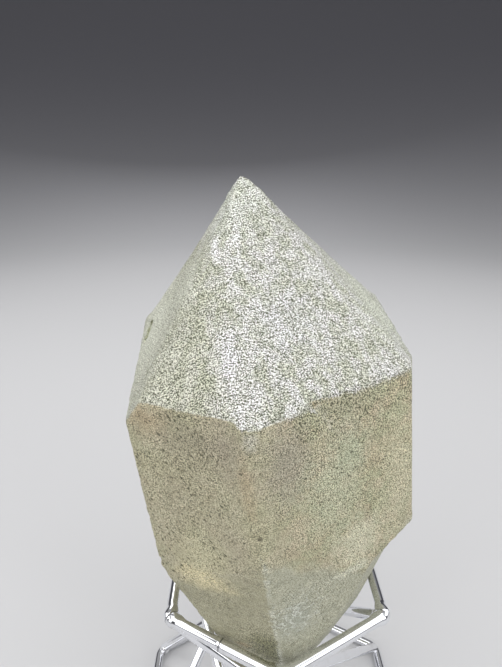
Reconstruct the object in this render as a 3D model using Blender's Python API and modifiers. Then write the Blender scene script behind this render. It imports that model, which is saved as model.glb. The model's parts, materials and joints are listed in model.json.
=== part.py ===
"""A chlorite quartz crystal that leans in a wire display stand.

The stand is a six-sided ring over a wider six-sided base, joined by six slanting legs. The crystal is one
solid: a six-sided prism under a pointed crown, tapering into the ring below. Its faces are planes placed by
their angles. Dimensions are in millimetres until each mesh is finished.
"""

import math

import bmesh
import bpy
from mathutils import Matrix, Vector

METRES = 0.001
GAP = 0.3

WIRE = 3.0
WIRE_SIDES = 12
SPARE_LENGTH = 4 * WIRE
FLAT_RADIUS = WIRE / 2 * math.cos(math.pi / WIRE_SIDES)
CORNERS = 6
FRONT_CORNER = -90.0
RING_CORNER = 32.0
BASE_CORNER = 45.6
BASE_HEIGHT = FLAT_RADIUS
RING_HEIGHT = BASE_HEIGHT + 59.2
LEG_TWIST = -2
SIDE_NAMES = ("front_right", "right", "back_right", "back_left", "left", "front_left")
LEG_NAMES = ("front", "right_front", "right_back", "back", "left_back", "left_front")

LEAN_LEFT = 6.24
LEAN_FORWARD = 3.88
FOOT = Vector((0.3, 2.0, RING_HEIGHT))
MIDDLE_ABOVE_FOOT = 45.0
ROUGH_BLOCK = 400.0
WORN_EDGE = 0.35
SHARPEST_KEPT = 12.0

# Each face is its turn around the crystal's axis from +X and its outward slope above the plane across that
# axis, in degrees, and its reach from the crystal's middle.
PRISM = {
    "front left": (240.8, 1.0, 32.5),
    "front right": (299.2, 1.5, 31.9),
    "right, front strip": (344.3, 0.9, 37.5),
    "right": (3.2, 0.7, 35.9),
    "back right": (60.5, 0.0, 33.0),
    "back left": (120.5, 0.0, 30.2),
    "left": (182.1, -0.8, 26.0),
}
CROWN = {
    "front left": (240.5, 42.0, 42.7),
    "front right": (300.2, 38.0, 40.4),
    "right": (355.2, 38.9, 43.6),
    "back right": (60.9, 39.8, 43.3),
    "back left": (119.7, 39.8, 41.2),
    "left": (188.2, 36.6, 36.5),
    "blunt point": (285.0, 81.7, 64.3),
}
WAIST = {
    "front right": (290.8, -10.2, 34.7),
    "right corner": (315.6, -22.5, 39.7),
}
BLUNTED = {
    "top of the front edge": (290.3, 7.3, 36.2),
}
# The step under the waist's right corner: the stone is cut away where it lies beyond both of these planes.
UNDERCUT = {
    "overhang": (322.6, -45.0, 37.6),
    "wall": (322.6, -18.3, 37.7),
}
# The faces that settle in the ring, and the blunt tip below it, in the stand's own axes from the ring's middle.
SEAT = {
    "front left": (249.0, -18.0, 23.7),
    "right": (2.0, -27.0, 22.7),
    "back right": (60.0, -36.0, 20.6),
    "back left": (120.0, -36.0, 20.6),
    "left": (176.0, -20.0, 24.1),
    "left corner": (205.4, -25.3, 20.9),
}
TIP = {
    "front left": (240.0, -46.0, 18.6),
    "front right": (304.0, -46.0, 18.5),
    "right": (10.0, -52.0, 15.5),
    "back right": (75.0, -52.0, 15.5),
    "back left": (135.0, -52.0, 15.5),
    "left": (190.0, -50.0, 15.5),
}

# Growth steps, each drawn on one face, across and up from the point of that face nearest the crystal's middle.
# The cut is deepest where the ledge is farthest to the left, and runs out to nothing at the fade.
STEPS = (
    {
        "face": PRISM["front right"],
        "ledge": ((-4.8, 34.0), (-4.8, 25.2), (-1.5, 21.8), (0.4, 18.4), (2.2, 12.6), (4.6, 6.0), (8.0, 0.5)),
        "fade": 8.0,
        "depth": 1.1,
    },
    {
        "face": PRISM["back right"],
        "ledge": ((-13.0, 38.0), (-12.4, 20.0), (-9.0, 11.0), (-6.5, -6.0), (-1.0, -17.0), (9.0, -23.0)),
        "fade": 9.0,
        "depth": 0.9,
    },
    {
        "face": PRISM["back left"],
        "ledge": ((13.0, 22.5), (2.0, 19.5), (-2.6, 14.0), (-1.6, -2.0), (3.5, -15.0), (13.0, -20.0)),
        "fade": 13.0,
        "depth": 0.8,
    },
    {
        "face": CROWN["back right"],
        "ledge": ((11.0, 11.5), (-1.0, 10.0), (-6.4, 5.0), (-5.0, -7.0), (-7.0, -24.0)),
        "fade": 11.0,
        "depth": 0.8,
    },
    {
        "face": CROWN["back left"],
        "ledge": ((9.0, 6.0), (0.0, 4.0), (-4.6, -2.0), (-3.4, -9.0), (-5.0, -26.0)),
        "fade": 9.0,
        "depth": 0.7,
    },
)
STEP_MARGIN = 2.0
STEP_OVERSHOOT = 8.0

# Chips and pits: the face each one is in, its place across and up that face, how far its centre stands off the
# face, its size and its turn.
CHIPS = (
    {"face": CROWN["left"], "at": (-8.2, 10.9), "off": 2.8, "size": 6.2, "turn": (45.0, 6.0, -32.0)},
    {"face": CROWN["right"], "at": (-5.4, -4.6), "off": 1.9, "size": 4.0, "turn": (40.0, 15.0, 25.0)},
    {"face": PRISM["front right"], "at": (-18.6, 1.7), "off": 0.3, "size": 2.2, "turn": (30.0, 30.0, 0.0)},
    {"face": PRISM["front left"], "at": (-10.8, -15.4), "off": 1.3, "size": 3.4, "turn": (35.0, 10.0, 20.0)},
    {"face": PRISM["back left"], "at": (13.6, -35.0), "off": 1.4, "size": 6.0, "turn": (25.0, 30.0, 15.0)},
    {"face": PRISM["back right"], "at": (16.2, 27.6), "off": 1.6, "size": 5.0, "turn": (10.0, 25.0, 40.0)},
)


def new_collection(name, in_render=True):
    """Adds an empty collection to the scene."""
    collection = bpy.data.collections.new(name)
    collection.hide_render = not in_render
    bpy.context.scene.collection.children.link(collection)
    return collection


def principled(name, colour, roughness, metallic):
    """Makes a plain Principled material."""
    material = bpy.data.materials.new(name)
    material.use_nodes = True
    shader = material.node_tree.nodes["Principled BSDF"]
    shader.inputs["Base Color"].default_value = (*colour, 1.0)
    shader.inputs["Roughness"].default_value = roughness
    shader.inputs["Metallic"].default_value = metallic
    material.diffuse_color = (*colour, 1.0)
    return material


def add_piece(name, bm, placement, collection, material=None):
    """Scales the mesh to metres and links it as one object, placed in millimetres by its matrix."""
    bmesh.ops.recalc_face_normals(bm, faces=bm.faces)
    bmesh.ops.scale(bm, vec=(METRES, METRES, METRES), verts=bm.verts)
    mesh = bpy.data.meshes.new(name)
    bm.to_mesh(mesh)
    bm.free()
    piece = bpy.data.objects.new(name, mesh)
    piece.matrix_world = Matrix.Translation(placement.translation * METRES) @ placement.to_3x3().to_4x4()
    if material:
        mesh.materials.append(material)
    collection.objects.link(piece)
    return piece


def trim(bm, point, normal):
    """Cuts away all that lies beyond a plane and closes the cut with one face."""
    everything = bm.verts[:] + bm.edges[:] + bm.faces[:]
    cut = bmesh.ops.bisect_plane(bm, geom=everything, plane_co=point, plane_no=normal, clear_outer=True)
    rim = [item for item in cut["geom_cut"] if isinstance(item, bmesh.types.BMEdge)]
    if rim:
        bmesh.ops.contextual_create(bm, geom=rim)


def corner(radius, index, height):
    """A corner of one of the stand's hexagons: 0 is at the front, and they run anticlockwise from above."""
    angle = math.radians(FRONT_CORNER + 360.0 / CORNERS * index)
    return Vector((radius * math.cos(angle), radius * math.sin(angle), height))


def wire_frame(start, end):
    """The placement of a straight wire: its middle, with Z along it and X level."""
    along = (end - start).normalized()
    level = along.cross(Vector((0.0, 0.0, 1.0))).normalized()
    turned = Matrix((level, along.cross(level), along)).transposed().to_4x4()
    return Matrix.Translation((start + end) / 2) @ turned


def straight_wire(name, start, end, end_cuts, collection, material):
    """One straight length of round wire, cut by planes given as (point, outward normal) in the stand."""
    placement = wire_frame(start, end)
    bm = bmesh.new()
    bmesh.ops.create_cone(
        bm,
        cap_ends=True,
        segments=WIRE_SIDES,
        radius1=WIRE / 2,
        radius2=WIRE / 2,
        depth=(end - start).length + SPARE_LENGTH,
    )
    half_step = Matrix.Rotation(math.pi / WIRE_SIDES, 3, "Z")
    bmesh.ops.rotate(bm, matrix=half_step, verts=bm.verts)
    to_wire = placement.inverted()
    for point, normal in end_cuts:
        trim(bm, to_wire @ point, to_wire.to_3x3() @ normal)
    return add_piece(name, bm, placement, collection, material)


def hexagon_side(name, radius, index, height, collection, material):
    """One side of a hexagon, mitred at both corners with half the gap left at each."""
    start, end = corner(radius, index, height), corner(radius, index + 1, height)
    cuts = []
    for here, other in ((start, end), (end, start)):
        outward = Vector((0.0, 0.0, 1.0)).cross(here).normalized()
        if outward.dot(other - here) > 0.0:
            outward.negate()
        cuts.append((here - outward * GAP / 2, outward))
    return straight_wire(name, start, end, cuts, collection, material)


def leg(name, index, collection, material):
    """A leg from a corner of the base to the ring's corner two places round, cut level at both ends."""
    start = corner(BASE_CORNER, index, BASE_HEIGHT)
    end = corner(RING_CORNER, index + LEG_TWIST, RING_HEIGHT)
    down, up = Vector((0.0, 0.0, -1.0)), Vector((0.0, 0.0, 1.0))
    clear_of_base = BASE_HEIGHT + FLAT_RADIUS + GAP
    clear_of_ring = RING_HEIGHT - FLAT_RADIUS - GAP
    cuts = [(Vector((0.0, 0.0, clear_of_base)), down), (Vector((0.0, 0.0, clear_of_ring)), up)]
    return straight_wire(name, start, end, cuts, collection, material)


def build_stand(collection, material):
    """The ring, the base and the legs, parented to one empty at the middle of the footprint."""
    stand = bpy.data.objects.new("display_stand", None)
    collection.objects.link(stand)
    pieces = []
    for index, side in enumerate(SIDE_NAMES):
        pieces.append(hexagon_side(f"ring_{side}", RING_CORNER, index, RING_HEIGHT, collection, material))
        pieces.append(hexagon_side(f"base_{side}", BASE_CORNER, index, BASE_HEIGHT, collection, material))
    for index, side in enumerate(LEG_NAMES):
        pieces.append(leg(f"leg_{side}", index, collection, material))
    for piece in pieces:
        piece.parent = stand


def facing(turn, slope):
    """The outward normal of a face, from its turn and slope in degrees."""
    level = math.cos(math.radians(slope))
    return Vector(
        (
            level * math.cos(math.radians(turn)),
            level * math.sin(math.radians(turn)),
            math.sin(math.radians(slope)),
        )
    )


def crystal_placement():
    """The crystal's middle, with Z up its own axis."""
    left, forward = math.tan(math.radians(LEAN_LEFT)), math.tan(math.radians(LEAN_FORWARD))
    axis = Vector((-left, -forward, 1.0)).normalized()
    across = (Vector((1.0, 0.0, 0.0)) - axis * axis.x).normalized()
    turned = Matrix((across, axis.cross(across), axis)).transposed().to_4x4()
    return Matrix.Translation(FOOT + axis * MIDDLE_ABOVE_FOOT) @ turned


def face_placement(face):
    """The placement of a face within the crystal: X across it as seen from outside, Y up it and Z out of it."""
    turn, slope, reach = face
    out = facing(turn, slope)
    up = (Vector((0.0, 0.0, 1.0)) - out * out.z).normalized()
    turned = Matrix((up.cross(out), up, out)).transposed().to_4x4()
    return Matrix.Translation(out * reach) @ turned


def step_cutter(name, step, placement, collection):
    """A slab over one face, tilted so that it cuts deepest along the ledge and runs out at its far side."""
    ledge = [Vector((x, y, 0.0)) for x, y in step["ledge"]]
    fade = step["fade"]
    reach = fade - min(point.x for point in ledge)
    far_side = [Vector((fade + STEP_MARGIN, ledge[end].y, 0.0)) for end in (-1, 0)]
    bm = bmesh.new()
    floor = bm.faces.new([bm.verts.new(point) for point in ledge + far_side])
    raised = bmesh.ops.extrude_face_region(bm, geom=[floor])
    top = [item for item in raised["geom"] if isinstance(item, bmesh.types.BMVert)]
    bmesh.ops.translate(bm, vec=(0.0, 0.0, STEP_OVERSHOOT), verts=top)
    tilt = Matrix.Rotation(-math.atan2(step["depth"], reach), 3, "Y")
    bmesh.ops.rotate(bm, cent=(fade, 0.0, 0.0), matrix=tilt, verts=bm.verts)
    return add_piece(name, bm, placement @ face_placement(step["face"]), collection)


def undercut_cutter(name, planes, placement, collection):
    """A block cut back to the part of it that lies beyond every plane given."""
    bm = bmesh.new()
    bmesh.ops.create_cube(bm, size=ROUGH_BLOCK)
    for turn, slope, reach in planes:
        normal = facing(turn, slope)
        trim(bm, normal * reach, -normal)
    return add_piece(name, bm, placement, collection)


def chip_cutter(name, chip, placement, collection):
    """A turned cube that breaks a small flat-sided piece off an edge, or sinks a pit or a groove in a face."""
    bm = bmesh.new()
    bmesh.ops.create_cube(bm, size=chip["size"])
    for axis, degrees in zip("XYZ", chip["turn"]):
        bmesh.ops.rotate(bm, matrix=Matrix.Rotation(math.radians(degrees), 3, axis), verts=bm.verts)
    bmesh.ops.translate(bm, vec=(*chip["at"], chip["off"]), verts=bm.verts)
    return add_piece(name, bm, placement @ face_placement(chip["face"]), collection)


def subtract(piece, cutter):
    """Cuts one solid out of another."""
    cutter.display_type = "WIRE"
    cutter.hide_render = True
    boolean = piece.modifiers.new(cutter.name, "BOOLEAN")
    boolean.operation = "DIFFERENCE"
    boolean.solver = "EXACT"
    boolean.object = cutter


def build_crystal(collection, cutters, material):
    """The crystal, cut from a block by the planes of its faces, with worn edges, growth steps and chips."""
    placement = crystal_placement()
    to_crystal = placement.inverted()
    ring_middle = to_crystal @ Vector((0.0, 0.0, RING_HEIGHT))
    bm = bmesh.new()
    bmesh.ops.create_cube(bm, size=ROUGH_BLOCK)
    for face in [*PRISM.values(), *CROWN.values(), *WAIST.values(), *BLUNTED.values()]:
        turn, slope, reach = face
        normal = facing(turn, slope)
        trim(bm, normal * reach, normal)
    for face in [*SEAT.values(), *TIP.values()]:
        turn, slope, reach = face
        normal = to_crystal.to_3x3() @ facing(turn, slope)
        trim(bm, ring_middle + normal * reach, normal)
    crystal = add_piece("crystal", bm, placement, collection, material)

    worn = crystal.modifiers.new("worn edges", "BEVEL")
    worn.width = WORN_EDGE * METRES
    worn.segments = 1
    worn.limit_method = "ANGLE"
    worn.angle_limit = math.radians(SHARPEST_KEPT)
    subtract(crystal, undercut_cutter("undercut", UNDERCUT.values(), placement, cutters))
    for number, step in enumerate(STEPS):
        subtract(crystal, step_cutter(f"step_cutter_{number}", step, placement, cutters))
    for number, chip in enumerate(CHIPS):
        subtract(crystal, chip_cutter(f"chip_cutter_{number}", chip, placement, cutters))


def main():
    for old in list(bpy.data.objects):
        bpy.data.objects.remove(old, do_unlink=True)
    part = new_collection("chlorite_quartz_crystal")
    cutters = new_collection("cutters", in_render=False)
    stone = principled("chlorite quartz", (0.50, 0.49, 0.37), 0.72, 0.0)
    chrome = principled("polished chrome wire", (0.80, 0.81, 0.84), 0.10, 1.0)
    build_stand(part, chrome)
    build_crystal(part, cutters, stone)


main()
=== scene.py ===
"""Looks of a frosted chlorite quartz crystal that leans in the ring of a chromed wire stand.

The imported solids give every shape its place. The crystal is a finely divided copy of its solid, with worn
edges and a sugary skin. The stand is bent and welded round wire in place of the solid's straight bars.
Lengths are in metres, and in millimetres inside the materials and where a line says so.
"""

from __future__ import annotations

import json
import logging
import math
from collections.abc import Callable, Iterable, Iterator, Sequence
from contextlib import contextmanager
from dataclasses import dataclass
from enum import Enum

import bpy
import numpy as np
from mathutils import Matrix, Vector

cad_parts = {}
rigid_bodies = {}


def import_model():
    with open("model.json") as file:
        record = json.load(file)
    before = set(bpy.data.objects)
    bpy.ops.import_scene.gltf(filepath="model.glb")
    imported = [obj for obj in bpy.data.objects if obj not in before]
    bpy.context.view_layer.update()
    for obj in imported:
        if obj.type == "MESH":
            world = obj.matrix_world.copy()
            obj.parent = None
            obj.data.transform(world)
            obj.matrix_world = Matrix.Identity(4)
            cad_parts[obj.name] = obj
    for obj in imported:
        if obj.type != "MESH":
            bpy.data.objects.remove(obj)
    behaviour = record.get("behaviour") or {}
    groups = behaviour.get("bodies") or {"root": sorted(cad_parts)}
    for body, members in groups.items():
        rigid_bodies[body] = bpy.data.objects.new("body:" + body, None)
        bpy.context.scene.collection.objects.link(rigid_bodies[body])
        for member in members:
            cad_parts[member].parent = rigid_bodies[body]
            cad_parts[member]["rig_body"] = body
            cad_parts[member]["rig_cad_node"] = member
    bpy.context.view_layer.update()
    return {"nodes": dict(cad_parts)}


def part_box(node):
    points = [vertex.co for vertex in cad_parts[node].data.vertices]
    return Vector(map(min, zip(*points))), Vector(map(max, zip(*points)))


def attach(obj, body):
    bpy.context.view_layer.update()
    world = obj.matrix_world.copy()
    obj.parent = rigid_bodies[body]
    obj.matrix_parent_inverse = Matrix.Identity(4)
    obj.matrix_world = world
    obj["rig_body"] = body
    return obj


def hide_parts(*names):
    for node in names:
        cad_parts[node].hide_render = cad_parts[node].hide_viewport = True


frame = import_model()

LOG = logging.getLogger("chlorite_quartz")
MM = 0.001
BODY = "root"
WELD_LINE = "weld_line"
HALF_CORNER = math.radians(30.0)
# How near to each other two points are one, and how near to a cut a point lies on it.
SAME_PLACE = 0.01 * MM
ON_CUT = 0.002 * MM
# The least sine or cosine that a distance is divided by.
LEAST_ANGLE = 0.05

Triple = tuple[float, float, float]
Colour = Triple
Socket = bpy.types.NodeSocket
Feed = Socket | float | Sequence[float]
Feeds = dict[str | int, Feed]
NOWHERE = (0.0, 0.0, 0.0)


class Slot(Enum):
    """The record's material slots."""

    CRYSTAL = "crystal"
    WIRE = "wire"


class Zone(Enum):
    """The kinds of face on the crystal, by how they lie to its axis."""

    CROWN = "crown"
    PRISM = "prism"
    ROOT = "root"
    LEFT_ROOT = "root left of the front edge"


class Skin(Enum):
    """The distances that the crystal's mesh carries for its material, in millimetres."""

    EDGE = "edge_mm"
    CROWN = "crown_mm"
    ROOT = "root_mm"
    SIDE = "side_mm"


def select_only(piece: bpy.types.Object) -> None:
    """Makes one object the only selected one, and the active one.

    Args:
        piece: The object.
    """
    bpy.ops.object.select_all(action="DESELECT")
    piece.hide_set(False)
    piece.select_set(True)
    bpy.context.view_layer.objects.active = piece


def added(operator: Callable[..., object], name: str, **settings: object) -> bpy.types.Object:
    """Adds one object with nothing else selected.

    Args:
        operator: The operator that adds it.
        name: The object's name.
        settings: The operator's own settings.

    Returns:
        The new object.
    """
    bpy.ops.object.select_all(action="DESELECT")
    operator(**settings)
    piece = bpy.context.active_object
    piece.name = name
    return piece


@contextmanager
def editing(piece: bpy.types.Object, whole: bool = True) -> Iterator[None]:
    """Keeps a mesh in edit mode for a while.

    Args:
        piece: The mesh object.
        whole: Whether all of it is selected first.
    """
    select_only(piece)
    bpy.ops.object.mode_set(mode="EDIT")
    if whole:
        bpy.ops.mesh.select_all(action="SELECT")
    yield
    bpy.ops.object.mode_set(mode="OBJECT")


def apply_modifier(piece: bpy.types.Object, kind: str, **settings: object) -> None:
    """Adds one modifier, sets it and applies it.

    Args:
        piece: The mesh object.
        kind: Blender's name of the modifier.
        settings: The modifier's own settings.
    """
    select_only(piece)
    modifier = piece.modifiers.new(kind.lower(), kind)
    for name, value in settings.items():
        setattr(modifier, name, value)
    bpy.ops.object.modifier_apply(modifier=modifier.name)


def settle(piece: bpy.types.Object) -> None:
    """Moves the object's place into its mesh, so that it sits at the origin, unturned."""
    select_only(piece)
    bpy.ops.object.transform_apply(location=True, rotation=True, scale=True)


def twin(
    pattern: bpy.types.Object, name: str, place: Vector, along: Vector, stretch: Triple = (1.0, 1.0, 1.0)
) -> bpy.types.Object:
    """Copies a piece, with a mesh of its own.

    Args:
        pattern: The piece, upright at the origin.
        name: The copy's name.
        place: Where the copy's middle goes.
        along: The way that its length takes.
        stretch: How much it is drawn out across, deep and along.

    Returns:
        The copy.
    """
    piece = pattern.copy()
    piece.data = pattern.data.copy()
    piece.name = name
    bpy.context.scene.collection.objects.link(piece)
    piece.location = place
    piece.rotation_euler = along.to_track_quat("Z", "Y").to_euler()
    piece.scale = stretch
    settle(piece)
    return piece


def join(pieces: Sequence[bpy.types.Object], name: str) -> bpy.types.Object:
    """Joins several meshes in one.

    Args:
        pieces: The meshes, of which the first takes the others in.
        name: The name of the joined object.

    Returns:
        The joined object.
    """
    select_only(pieces[0])
    for piece in pieces[1:]:
        piece.select_set(True)
    bpy.ops.object.join()
    pieces[0].name = name
    return pieces[0]


def coordinates(piece: bpy.types.Object) -> np.ndarray:
    """The mesh's points as an array, one row each, in metres.

    Args:
        piece: The mesh object.

    Returns:
        The points.
    """
    points = np.empty(len(piece.data.vertices) * 3)
    piece.data.vertices.foreach_get("co", points)
    return points.reshape(-1, 3)


def number_layer(piece: bpy.types.Object, name: str) -> bpy.types.Attribute:
    """The mesh's layer of one number for each point, which is added if there is none."""
    return piece.data.attributes.get(name) or piece.data.attributes.new(name, "FLOAT", "POINT")


def ramp(values: np.ndarray, none_at: float, all_at: float) -> np.ndarray:
    """Goes straight from 0 to 1 as the values go from the one to the other."""
    return np.clip((values - none_at) / (all_at - none_at), 0.0, 1.0)


def weigh(piece: bpy.types.Object, name: str, shares: np.ndarray) -> None:
    """Writes a vertex group with each point's share, which is from 0 to 1.

    Args:
        piece: The mesh object.
        name: The group's name.
        shares: Each point's share.
    """
    group = piece.vertex_groups.new(name=name)
    for share in np.unique(shares[shares > 0.0]):
        group.add(np.flatnonzero(shares == share).tolist(), float(share), "REPLACE")


def finish_with(piece: bpy.types.Object, material: bpy.types.Material, slot: Slot) -> None:
    """Gives a piece its material and its body.

    Args:
        piece: The finished mesh.
        material: Its material.
        slot: Its slot in the record; not used.
    """
    piece.data.materials.clear()
    piece.data.materials.append(material)
    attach(piece, BODY)


@dataclass(frozen=True)
class Relief:
    """Soft lumps that are raised on a mesh.

    Attributes:
        name: The name of their noise.
        lump: Their size in millimetres.
        layers: How many finer layers they have.
        height: How far they stand out, in millimetres.
        level: The value of the noise, from 0 to 1, that leaves the mesh where it is.
        group: The vertex group that they keep to, or nothing for the whole mesh.
    """

    name: str
    lump: float
    layers: int
    height: float
    level: float
    group: str = ""

    def press(self, piece: bpy.types.Object) -> None:
        """Raises the lumps on one mesh that sits at the origin.

        Args:
            piece: The mesh object.
        """
        noise = bpy.data.textures.get(self.name) or bpy.data.textures.new(self.name, "CLOUDS")
        noise.noise_scale = self.lump * MM
        noise.noise_depth = self.layers
        noise.noise_basis = "ORIGINAL_PERLIN"
        height = {"strength": self.height * MM, "mid_level": self.level}
        where = {"texture_coords": "LOCAL", "vertex_group": self.group}
        apply_modifier(piece, "DISPLACE", texture=noise, **height, **where)


class NodeNet:
    """Adds nodes to one tree and joins them.

    Attributes:
        tree: The tree.
    """

    def __init__(self, tree: bpy.types.NodeTree) -> None:
        """Keeps the tree."""
        self.tree = tree

    def feed(self, socket: Socket, value: Feed) -> None:
        """Links a socket to the value, or sets it.

        Args:
            socket: The socket to feed.
            value: A number, several, or another socket.
        """
        if isinstance(value, bpy.types.NodeSocket):
            self.tree.links.new(value, socket)
        elif isinstance(value, (int, float)):
            socket.default_value = value
        else:
            socket.default_value = (*value, 1.0) if socket.type == "RGBA" else tuple(value)

    def add(self, kind: str, feeds: Feeds | None = None, **settings: object) -> bpy.types.Node:
        """Adds one node.

        Args:
            kind: The node's type, without its ShaderNode prefix.
            feeds: Values or sockets for its inputs, by name or place.
            settings: The node's own settings.

        Returns:
            The node.
        """
        node = self.tree.nodes.new(f"ShaderNode{kind}")
        for name, value in settings.items():
            setattr(node, name, value)
        for name, value in (feeds or {}).items():
            self.feed(node.inputs[name], value)
        return node

    def group(self, group: bpy.types.NodeTree, feeds: Feeds) -> bpy.types.NodeOutputs:
        """Places a node group with its own values, and gives its outputs."""
        return self.add("Group", feeds, node_tree=group).outputs

    def point(self) -> Socket:
        """The point on the piece, in metres."""
        return self.add("TexCoord").outputs["Object"]

    def carried(self, name: str) -> Socket:
        """A number that the mesh carries."""
        return self.add("Attribute", attribute_name=name).outputs["Fac"]

    def local(self, vector: Feed, size: Feed, centre: Feed = NOWHERE, turn: Feed = NOWHERE) -> Socket:
        """The point in a pattern's own axes, counted in its sizes from its centre."""
        feeds = {"Vector": vector, "Location": centre, "Rotation": turn, "Scale": size}
        return self.add("Mapping", feeds, vector_type="TEXTURE").outputs[0]

    def aside(self, vector: Feed, shift: Triple) -> Socket:
        """The point moved aside, where a pattern has other values."""
        return self.add("VectorMath", {0: vector, 1: shift}).outputs[0]

    def math(self, operation: str, first: Feed, second: Feed = 0.0, third: Feed = 0.0) -> Socket:
        """One arithmetic step on up to three numbers."""
        return self.add("Math", {0: first, 1: second, 2: third}, operation=operation).outputs[0]

    def plus(self, first: Feed, second: Feed) -> Socket:
        """The sum of two numbers."""
        return self.math("ADD", first, second)

    def times(self, first: Feed, second: Feed, more: Feed = 0.0) -> Socket:
        """The product of two numbers, and a third added to it."""
        return self.math("MULTIPLY_ADD", first, second, more)

    def blend(self, factor: Feed, first: Feed, second: Feed, how: str = "MIX") -> Socket:
        """Mixes two colours.

        Args:
            factor: How much of the second there is.
            first: The colour beneath.
            second: The colour above.
            how: The blend type.

        Returns:
            The mixed colour.
        """
        node = self.add("Mix", data_type="RGBA", blend_type=how)
        inputs = {socket.identifier: socket for socket in node.inputs}
        for name, value in (("Factor_Float", factor), ("A_Color", first), ("B_Color", second)):
            self.feed(inputs[name], value)
        return next(socket for socket in node.outputs if socket.identifier == "Result_Color")

    def tinted(self, colour: Feed, by: Feed, factor: Feed = 1.0) -> Socket:
        """The colour multiplied by another, as far as the factor says."""
        return self.blend(factor, colour, by, "MULTIPLY")

    def fade(self, value: Feed, low: Feed, high: Feed, start: Feed = 0.0, end: Feed = 1.0) -> Socket:
        """Eases from start to end as the value goes from low to high."""
        feeds = {"Value": value, "From Min": low, "From Max": high, "To Min": start, "To Max": end}
        return self.add("MapRange", feeds, interpolation_type="SMOOTHSTEP").outputs[0]

    def noise(self, vector: Feed, size: float, detail: float = 2.0, roughness: float = 0.5) -> Socket:
        """Soft noise from 0 to 1 with lumps of the given size in millimetres."""
        feeds = {"Vector": vector, "Scale": 1.0 / size, "Detail": detail, "Roughness": roughness}
        return self.add("TexNoise", feeds).outputs[0]

    def swing(self, vector: Feed, size: float, detail: float = 2.0, roughness: float = 0.5) -> Socket:
        """The same noise, from half below zero to half above it."""
        return self.plus(self.noise(vector, size, detail, roughness), -0.5)

    def cells(self, vector: Feed, scale: float = 1.0, channel: int = 0) -> tuple[Socket, Socket]:
        """A pattern of cells: how far the point is from its cell's middle, and a number of the cell's own."""
        cell = self.add("TexVoronoi", {"Vector": vector, "Scale": scale}).outputs
        return cell["Distance"], self.add("SeparateColor", {"Color": cell["Color"]}).outputs[channel]

    def bump(self, height: Feed) -> Socket:
        """The normals of a relief whose height is in millimetres."""
        return self.add("Bump", {"Strength": 1.0, "Distance": MM, "Height": height}).outputs[0]


def new_group(
    name: str, inputs: dict[str, str], outputs: Iterable[str]
) -> tuple[NodeNet, bpy.types.NodeOutputs, bpy.types.NodeInputs]:
    """Starts a node group.

    Args:
        name: The group's name.
        inputs: Its inputs, each with its socket type.
        outputs: Its outputs, which are numbers.

    Returns:
        The group's net, what it is given and what it makes.
    """
    tree = bpy.data.node_groups.new(name, "ShaderNodeTree")
    for label, kind in inputs.items():
        tree.interface.new_socket(label, in_out="INPUT", socket_type=f"NodeSocket{kind}")
    for label in outputs:
        tree.interface.new_socket(label, in_out="OUTPUT", socket_type="NodeSocketFloat")
    return NodeNet(tree), tree.nodes.new("NodeGroupInput").outputs, tree.nodes.new("NodeGroupOutput").inputs


def new_material(name: str) -> tuple[bpy.types.Material, NodeNet, bpy.types.NodeInputs]:
    """Starts a material.

    Args:
        name: The material's name.

    Returns:
        The material, its net and its shader's inputs.
    """
    material = bpy.data.materials.new(name)
    material.use_nodes = True
    return material, NodeNet(material.node_tree), material.node_tree.nodes["Principled BSDF"].inputs


def sugar_grain() -> bpy.types.NodeTree:
    """A skin of tiny crystals: how far each is lighter than those round it, and how high it stands.

    Returns:
        The group.
    """
    net, given, made = new_group("sugar grain", {"Vector": "Vector", "Per mm": "Float"}, ("Value", "Height"))
    feeds = {"Vector": given["Vector"], "Scale": given["Per mm"]}
    vector = net.add("VectorMath", feeds, operation="SCALE").outputs[0]
    distance, value = net.cells(vector)
    _, finer = net.cells(vector, 1.7, channel=1)
    odd = net.times(value, 0.8, net.times(finer, 0.3, 0.35))
    for shift in ((1.05, 1.05, 1.05), (1.05, -1.05, -1.05), (-1.05, 1.05, -1.05), (-1.05, -1.05, 1.05)):
        _, beside = net.cells(net.aside(vector, shift))
        odd = net.times(beside, -0.2, odd)
    net.feed(made["Value"], odd)
    net.feed(made["Height"], net.times(net.math("SUBTRACT", 1.0, distance), net.plus(value, 0.4)))
    return net.tree


def soft_stain_or_light() -> bpy.types.NodeTree:
    """A soft patch round one place, with a wandering outline.

    Returns:
        The group.
    """
    inputs = {"Vector": "Vector", "Centre": "Vector", "Radii": "Vector", "Wander": "Float"}
    net, given, made = new_group("soft stain or light patch", inputs, ("Mask",))
    local = net.local(given["Vector"], given["Radii"], given["Centre"])
    far = net.add("VectorMath", {0: local}, operation="LENGTH").outputs["Value"]
    net.feed(made["Mask"], net.fade(net.plus(far, given["Wander"]), 1.45, 0.15))
    return net.tree


def long_specks() -> bpy.types.NodeTree:
    """Small drawn-out marks that all lie one way, some larger and some missing.

    Returns:
        The group.
    """
    inputs = {"Vector": "Vector", "Turn": "Vector", "Size": "Vector", "Amount": "Float"}
    net, given, made = new_group("long specks", inputs, ("Mask",))
    distance, chance = net.cells(net.local(given["Vector"], given["Size"], turn=given["Turn"]))
    reach = net.fade(net.plus(chance, given["Amount"]), 0.45, 1.1, 0.0, 0.40)
    net.feed(made["Mask"], net.fade(net.math("SUBTRACT", reach, distance), 0.0, 0.10))
    return net.tree


def pale_veins() -> bpy.types.NodeTree:
    """Thin curved lines, as of healed cracks.

    Returns:
        The group.
    """
    inputs = {"Vector": "Vector", "Size": "Float", "Width": "Float"}
    net, given, made = new_group("pale veins", inputs, ("Mask",))
    per_mm = net.math("DIVIDE", 1.0, given["Size"])
    feeds = {"Vector": given["Vector"], "Scale": per_mm, "Detail": 1.5, "Distortion": 1.2}
    off = net.math("ABSOLUTE", net.plus(net.add("TexNoise", feeds).outputs[0], -0.5))
    net.feed(made["Mask"], net.fade(off, given["Width"], 0.0))
    return net.tree


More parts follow.
